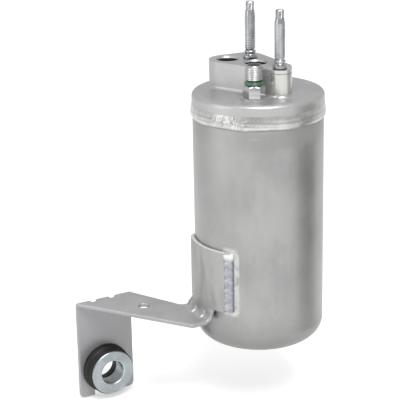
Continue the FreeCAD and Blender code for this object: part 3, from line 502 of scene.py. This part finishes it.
green = Finish("green_seal_rubber", roughness=0.30, coat_weight=0.5, coat_roughness=0.15)
green_cloud = green.cloud(500, 2.0)
green.feed("Base Color", green.blend(green_cloud, (0.020, 0.085, 0.036), (0.035, 0.125, 0.055)))
green.relief(green_cloud, 0.00002, 0.4)
dress("charge_fitting_o_ring", green)

brass = Finish("valve_brass", metallic=1.0)
brass_cloud = brass.cloud(900, 2.0)
brass.feed("Base Color", brass.blend(brass_cloud, (0.52, 0.36, 0.12), (0.72, 0.54, 0.24)))
brass.feed("Roughness", 0.22 + brass_cloud * 0.15)
dress("valve_core_body", brass)
dress("valve_core_pin", brass)
spring_wire = Finish("spring_steel_wire", metallic=1.0)
wire_cloud = spring_wire.cloud(700, 2.0)
spring_wire.feed("Base Color", spring_wire.blend(wire_cloud, (0.25, 0.25, 0.26), (0.42, 0.42, 0.43)))
spring_wire.feed("Roughness", 0.28 + wire_cloud * 0.15)
dress("cartridge_spring", spring_wire)

# The core's own spring, standing on the core's seat under the pin's head, is copied as a piece of its own
# in spring steel wire.
spring_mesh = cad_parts["valve_core_spring"].data.copy()
spring_mesh.materials.clear()
spring_mesh.materials.append(spring_wire.material)
core_spring = bpy.data.objects.new("valve_core_spring_wire", spring_mesh)
bpy.context.scene.collection.objects.link(core_spring)
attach(core_spring, "drier")
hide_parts("valve_core_spring")
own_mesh(core_spring)


# Bracket: one sheet of 2.5 mm aluminium, cut, pressed with stiffening darts and folded; its mill
# finish is greyer and flatter than the can's; the arm's top is left pale and the rest painted with
# shade, the saddle is painted darker with clouded shade, and its top edge carries a painted highlight.
arm_top, sheet, flange_y = 0.0199, 0.0025, 0.0555
saddle_start, saddle_full = 0.0240, 0.0300
edge_start, edge_full = 0.06285, 0.06305
sheet_skin = aluminium("bracket_sheet", (0.45, 0.45, 0.455), (0.38, 0.38, 0.385), 0.42, 0.08,
                       spread=0.8, metal=0.6)
sheet_z = sheet_skin.axes()[2]
# Painted light and shade: the sheet is painted darker everywhere except the arm's upward top face.
lit_arm_top = sheet_skin.ease(sheet_z, 0.0190, 0.0196) * (1.0 - sheet_skin.ease(sheet_z, 0.0204, 0.0225))
sheet_tone = sheet_skin.blend(0.6 - lit_arm_top * 0.6, sheet_skin.colour, (0.27, 0.27, 0.28))
# Painted shade: the saddle is painted darker in clouds and made less metallic.
shaded_saddle_zone = sheet_skin.ease(sheet_z, saddle_start, saddle_full)
saddle_shade_clouds = sheet_skin.ease(sheet_skin.cloud(120, 3.0, (1, 1, 0.35)), 0.36, 0.62)
saddle_shade_clouds = sheet_skin.blend(saddle_shade_clouds, (0.265, 0.262, 0.252), (0.345, 0.343, 0.332))
sheet_tone = sheet_skin.blend(shaded_saddle_zone, sheet_tone, saddle_shade_clouds)
# Painted highlight: the saddle's upward top edge is painted pale.
lit_top_edge = sheet_skin.ease(sheet_z, edge_start, edge_full)
sheet_skin.feed("Base Color", sheet_skin.blend(lit_top_edge, sheet_tone, (0.60, 0.60, 0.59)))
sheet_skin.feed("Metallic", 0.6 - shaded_saddle_zone * 0.4)


def to_corner(u, v, radius):
    """How far a point lies from a filleted corner, on a line at 45 degrees; u, v: off its walls."""
    if min(u, v) <= 0:
        return 0.0
    if abs(u - v) >= radius:
        return min(u, v) * math.sqrt(2)
    across = (u + v - 2 * radius) / math.sqrt(2)
    inside = across ** 2 - (u - radius) ** 2 - (v - radius) ** 2 + radius ** 2
    return max(across + math.sqrt(max(inside, 0.0)), 0.0)


def press_shallow(x, y, z):
    """Where a point of the bracket goes when its darts are pressed less deep than the solid's."""
    flange_centre, fold_dart, corner_darts = -0.0777, 0.0062, (-0.0020, 0.0078)
    inner_bend, outer_bend, saddle_outside = 0.0010, 0.0035, 0.0406
    fold_share, corner_share = 0.62, 0.36
    from_dart = abs(abs(x - flange_centre) - fold_dart)
    if y > 0.040 and z > 0.005 and from_dart < 0.0050:
        u, v = flange_y - y, arm_top - sheet - z
        rib = u + v > 0.0040 or (from_dart > 0.0029 and min(u, v) > -0.0012)
        reach = to_corner(u, v, inner_bend) if rib else to_corner(u + sheet, v + sheet, outer_bend)
        move = reach * fold_share / math.sqrt(2)
        return x, y + move, z + move
    if x > -0.056 and z < 0.032 and min(abs(y - dart) for dart in corner_darts) < 0.0036:
        saddle = math.sqrt(saddle_outside ** 2 - y ** 2)
        move = to_corner(-x - saddle, z - arm_top, outer_bend) * corner_share / math.sqrt(2)
        return x + move, y, z - move
    return x, y, z


def shape(piece, kind, settings):
    """Puts one modifier on a piece and settles it."""
    modifier = piece.modifiers.new(kind.lower(), kind)
    for key, value in settings.items():
        setattr(modifier, key, value)
    settle(piece)


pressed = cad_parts["mounting_bracket"].data.copy()
pressed.materials.clear()
bracket = bpy.data.objects.new("mounting_bracket_pressed", pressed)
bpy.context.scene.collection.objects.link(bracket)
shape(bracket, "REMESH", {"mode": "VOXEL", "voxel_size": 0.0005})
for vertex in bracket.data.vertices:
    vertex.co = press_shallow(*vertex.co)
shape(bracket, "SMOOTH", {"factor": 0.5, "iterations": 5})
shape(bracket, "DECIMATE", {"ratio": 0.55})
bracket.data.shade_smooth()
bracket.data.materials.append(sheet_skin.material)
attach(bracket, "drier")
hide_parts("mounting_bracket")


# Saddle welds: fillets down both upright edges of the saddle, laid upwards in fine ripples, blue-grey,
# with painted shade in the ripples and along both edges, and a painted highlight where the bead ends
# at the top.
fillet_skin = Finish("fillet_weld_metal", metallic=0.75)
fillet_z = fillet_skin.axes()[2]
fillet_grain = fillet_skin.cloud(1100, 3.0)
fillet_patch = fillet_skin.cloud(150, 3.0)
fillet_shade = fillet_skin.make("ShaderNodeAttribute", {"attribute_name": "dip"}, {}, "Fac")
fillet_tone = fillet_skin.blend(fillet_skin.ease(fillet_patch, 0.36, 0.64), (0.36, 0.365, 0.40),
                                (0.47, 0.475, 0.51))
# Painted shade: the stored values darken the ripples and both edges of each bead.
fillet_tone = fillet_skin.blend(fillet_shade, fillet_tone, (0.20, 0.20, 0.23))
# Painted highlight: the top end of each bead is painted pale.
fillet_top_highlight = fillet_skin.ease(fillet_z + fillet_patch * 0.003, 0.0596, 0.0622)
fillet_skin.feed("Base Color", fillet_skin.blend(fillet_top_highlight, fillet_tone, (0.72, 0.72, 0.72)))
fillet_skin.feed("Roughness", 0.30 + fillet_patch * 0.2)
fillet_skin.relief(fillet_grain + fillet_patch, 0.00010, 0.5)
fillet_start, fillet_end = math.radians(27.1), math.radians(35.6)
fillet_low, fillet_high, fillet_throat, fillet_round = 0.0264, 0.0629, 0.00245, 0.0016
fine_step, coarse_step = 0.0013, 0.0053
fillet_foot, fillet_back = 0.03806, 0.03805
rows, across = 240, 16
for name, way in (("saddle_weld_front", -1), ("saddle_weld_rear", 1)):
    points = []
    shade_dips = []
    for row in range(rows + 1):
        share = row / rows
        height = fillet_low + (fillet_high - fillet_low) * share
        end_gap = min(height - fillet_low, fillet_high - height) / fillet_round
        plump = math.sqrt(max(1 - (1 - min(end_gap, 1.0)) ** 2, 0.0))
        swell = 0.90 + 0.06 * math.sin(share * 41 + 0.7) + 0.04 * math.sin(share * 73)
        for step in range(across + 1):
            turn_share = step / across
            stop = fillet_end - (1 - plump) * 0.030 - 0.012 * (1 - swell) * 4
            angle = fillet_start + (stop - fillet_start) * turn_share
            arch = min(1.0, (1.0 - turn_share) * 2.6) ** 0.55
            bow = 2.4 * (turn_share - 0.45) ** 2
            fine = 0.5 + 0.5 * math.sin(2 * math.pi * (height / fine_step + bow))
            coarse = 0.5 + 0.5 * math.sin(2 * math.pi * (height / coarse_step + bow * 0.5))
            lift = fillet_throat * plump * swell * arch * (1.0 - 0.05 * fine - 0.09 * coarse)
            radius = fillet_foot + lift
            points.append((-radius * math.cos(angle), radius * math.sin(angle) * way, height))
            # Painted shade at the bead's two edges, where it meets plate and can.
            toe = min(max(turn_share - 0.80, 0.0) / 0.12, 1.0)
            heel = max(1.0 - turn_share / 0.12, 0.0)
            shade_dips.append(min(0.30 * fine + 0.30 * coarse + 0.75 * toe + 0.7 * heel, 1.0))
    width = across + 1
    faces = []
    for row in range(rows):
        for step in range(across):
            a, b = row * width + step, (row + 1) * width + step
            faces.append((a, a + 1, b + 1, b) if way < 0 else (a, b, b + 1, a + 1))
    back = len(points)
    for row in range(rows + 1):
        for step in range(across + 1):
            x, y, height = points[row * width + step]
            reach = fillet_back / math.hypot(x, y)
            points.append((x * reach, y * reach, height))
    for row in range(rows):
        for step in range(across):
            a, b = back + row * width + step, back + (row + 1) * width + step
            faces.append((a, b, b + 1, a + 1) if way < 0 else (a, a + 1, b + 1, b))
        for step in (0, across):
            a, b = row * width + step, (row + 1) * width + step
            faces.append((a, b, back + b, back + a) if (step == 0) == (way < 0)
                         else (a, back + a, back + b, b))
    add_weld(name + "_ripples", points, faces, fillet_skin, name, shade_dips)


# Isolator: a black moulded rubber grommet with a rim and a rib, gripping the flange's keyhole, and
# the zinc plated flanged bush pressed into it, with a painted highlight at its mouth and painted shade at
# its far end.
isolator_centre, bush_mouth = (-0.0777, -0.0263), (0.0078, 0.0081)
mouth_start, mouth_end = 0.0463, 0.0468
lip_start, lip_end = 0.0552, 0.0555
rubber = Finish("isolator_rubber")
rubber_cloud = rubber.cloud(220, 3.0)
rubber_grain = rubber.cloud(1800, 2.0)
rubber.feed("Base Color", rubber.blend(rubber_cloud, (0.006, 0.006, 0.006), (0.016, 0.015, 0.015)))
rubber.feed("Roughness", 0.42 + rubber_cloud * 0.2)
rubber.shader.inputs["Specular IOR Level"].default_value = 0.28
rubber.relief(rubber_grain + rubber_cloud, 0.00005, 0.5)
dress("isolator_grommet", rubber)
bush_skin = Finish("bush_zinc_steel", metallic=1.0)
bush_cloud = bush_skin.cloud(140, 3.0)
bush_grain = bush_skin.cloud(1300, 2.0)
bush_tone = bush_skin.blend(bush_skin.ease(bush_cloud * 0.6 + bush_grain * 0.4, 0.38, 0.62),
                            (0.285, 0.313, 0.325), (0.39, 0.425, 0.440))
bush_x, bush_y, bush_z = bush_skin.axes()
bush_inside = within(bush_skin, bush_x, bush_z, isolator_centre, *bush_mouth)
# Painted highlight: the bush's mouth is painted pale.
painted_mouth_highlight = bush_inside * (1.0 - bush_skin.ease(bush_y, mouth_start, mouth_end))
bush_tone = bush_skin.blend(painted_mouth_highlight, bush_tone, (0.62, 0.66, 0.67))
# Painted shade: the far end of the bush's bore is painted black.
painted_bore_shade = bush_inside * bush_skin.ease(bush_y, lip_start, lip_end)
bush_skin.feed("Base Color", bush_skin.blend(painted_bore_shade, bush_tone, (0.008, 0.008, 0.008)))
bush_skin.feed("Roughness", 0.32 + bush_cloud * 0.12 + painted_bore_shade * 0.2)
bush_skin.relief(bush_grain, 0.00003, 0.5)
dress("isolator_bush", bush_skin)


# Inside the can: the drawn pick-up tube and its strainer, and the cartridge of felt pads,
# perforated plates and tan beads.
tube_skin = aluminium("tube_drawn_aluminium", (0.70, 0.70, 0.70), (0.58, 0.58, 0.58), 0.26, 0.2,
                      spread=0.5)
dress("pickup_tube", tube_skin)
plate_skin = aluminium("plate_pressed_aluminium", (0.66, 0.66, 0.66), (0.55, 0.55, 0.55), 0.34, 0.1)
dress("upper_retainer_plate", plate_skin)
dress("lower_retainer_plate", plate_skin)
mesh_skin = Finish("strainer_mesh", metallic=1.0, roughness=0.4)
weave = mesh_skin.make("ShaderNodeTexVoronoi", {"feature": "F1"}, {
    "Vector": mesh_skin.place, "Scale": 2600.0})
# Painted shade: the hollows between the wire's raised spots are painted dark.
mesh_tone_hole_shade = mesh_skin.blend(mesh_skin.ease(weave, 0.2, 0.6), (0.45, 0.45, 0.46), (0.08, 0.08, 0.08))
mesh_skin.feed("Base Color", mesh_tone_hole_shade)
mesh_skin.relief(1.0 - weave, 0.00008, 0.8)
dress("pickup_strainer", mesh_skin)
felt = Finish("filter_felt", roughness=0.95)
felt_fibre = felt.cloud(900, 6.0, (1, 1, 3), 0.7)
felt.feed("Base Color", felt.blend(felt_fibre, (0.62, 0.60, 0.54), (0.82, 0.80, 0.75)))
felt.relief(felt_fibre, 0.0004, 0.8)
dress("upper_felt_pad", felt)
dress("lower_felt_pad", felt)
beads = Finish("desiccant_beads", roughness=0.8)
bead_cells = beads.make("ShaderNodeTexVoronoi", {"feature": "F1"}, {
    "Vector": beads.place, "Scale": 520.0})
# Painted shade: the gaps between the beads are painted dark.
bead_tone_gap_shade = beads.blend(beads.ease(bead_cells, 0.25, 0.75), (0.66, 0.55, 0.40), (0.20, 0.15, 0.10))
beads.feed("Base Color", bead_tone_gap_shade)
beads.relief(1.0 - bead_cells, 0.0008, 0.9)
dress("desiccant_bed", beads)


# Studio: a white room, a wide soft light over the camera, a softer one from the left and a grey
# flag on the right that the can's side mirrors as its dark upright band.
floor_half, floor_height = 6, -0.0445
floor_mesh = bpy.data.meshes.new("studio_floor")
floor_mesh.from_pydata([(-floor_half, -floor_half, floor_height), (floor_half, -floor_half, floor_height),
                        (floor_half, floor_half, floor_height), (-floor_half, floor_half, floor_height)],
                       [], [(0, 1, 2, 3)])
floor = bpy.data.objects.new("studio_floor", floor_mesh)
bpy.context.scene.collection.objects.link(floor)
paper = Finish("studio_paper", roughness=0.9)
paper.shader.inputs["Base Color"].default_value = (0.80, 0.80, 0.80, 1.0)
paper.shader.inputs["Emission Strength"].default_value = 1.0
path = paper.make("ShaderNodeLightPath", {}, {}).socket.node
seen = Tone(paper, path.outputs["Is Camera Ray"])
for ray in ("Is Glossy Ray", "Is Transmission Ray"):
    seen = seen + Tone(paper, path.outputs[ray])
paper.feed("Emission Color", seen * 0.42)
floor_mesh.materials.append(paper.material)

world = bpy.data.worlds.new("studio_room")
bpy.context.scene.world = world
world.use_nodes = True
room = world.node_tree.nodes["Background"]
room.inputs["Color"].default_value = (1.0, 1.0, 1.0, 1.0)
room.inputs["Strength"].default_value = 0.67


def soft_light(name, place, aim, width, height, power):
    data = bpy.data.lights.new(name, "AREA")
    data.shape = "RECTANGLE"
    data.size = width
    data.size_y = height
    data.energy = power
    lamp = bpy.data.objects.new(name, data)
    bpy.context.scene.collection.objects.link(lamp)
    direction = Vector(aim) - Vector(place)
    lamp.matrix_world = Matrix.LocRotScale(Vector(place), direction.to_track_quat("-Z", "Y"), None)


view_side = turn @ Vector((1, 0, 0))
view_front = turn @ Vector((0, -1, 0))
soft_light("over_camera", view_front * 0.80 + view_side * 0.13 + Vector((0, 0, 1.10)), (0, 0, 0.1),
           0.50, 0.6, 13.0)
soft_light("from_left", view_front * 0.5 - view_side * 1.1 + Vector((0, 0, 0.5)), (0, 0, 0.05),
           0.6, 0.9, 3.5)

flag_low, flag_high = -0.044, 0.45
flag_near = view_side * 0.15 + view_front * 0.080
flag_far = view_side * 0.15 - view_front * 0.030
flag_mesh = bpy.data.meshes.new("studio_flag")
flag_mesh.from_pydata([(*flag_near.xy, flag_low), (*flag_far.xy, flag_low), (*flag_far.xy, flag_high),
                       (*flag_near.xy, flag_high)], [], [(0, 1, 2, 3)])
flag = bpy.data.objects.new("studio_flag", flag_mesh)
bpy.context.scene.collection.objects.link(flag)
flag_cloth = Finish("flag_cloth", roughness=1.0)
flag_cloth.shader.inputs["Base Color"].default_value = (0.56, 0.56, 0.54, 1.0)
flag_mesh.materials.append(flag_cloth.material)
flag.visible_camera = False
flag.visible_diffuse = False
flag.visible_shadow = False
